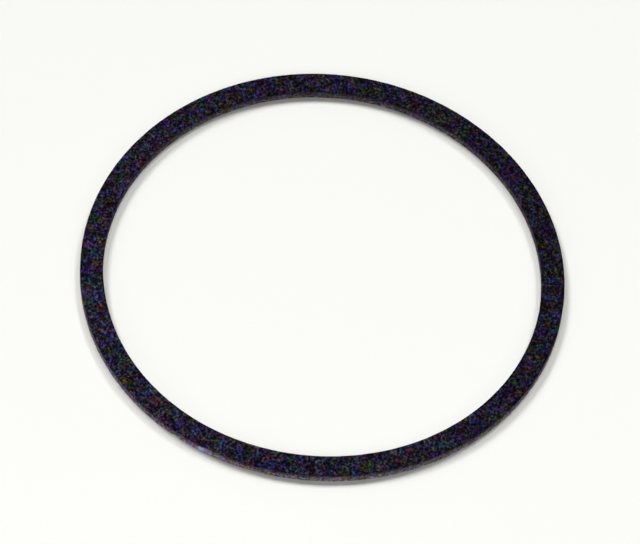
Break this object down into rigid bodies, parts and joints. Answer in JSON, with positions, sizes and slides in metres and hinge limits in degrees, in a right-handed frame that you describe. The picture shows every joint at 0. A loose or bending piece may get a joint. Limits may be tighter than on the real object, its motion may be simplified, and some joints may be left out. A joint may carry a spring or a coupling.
{
  "type": "gasket",
  "caption": "Flat ring gasket of black rubber: a thin round band with a nearly square-cut section, made to seal a round lid, bowl or flange.",
  "frame": {"origin": "centre of the ring on its underside, which is the face it rests on", "axes": "+Z along the ring's axis, up through the top face; +X is the ring's right-hand side as the camera sees it"},
  "size_m": [0.0884, 0.0884, 0.002],
  "materials": {
    "rubber": "matte black moulded rubber, faintly mottled"
  },
  "bodies": {
    "root": {"gasket": "rubber"}
  },
  "joints": []
}
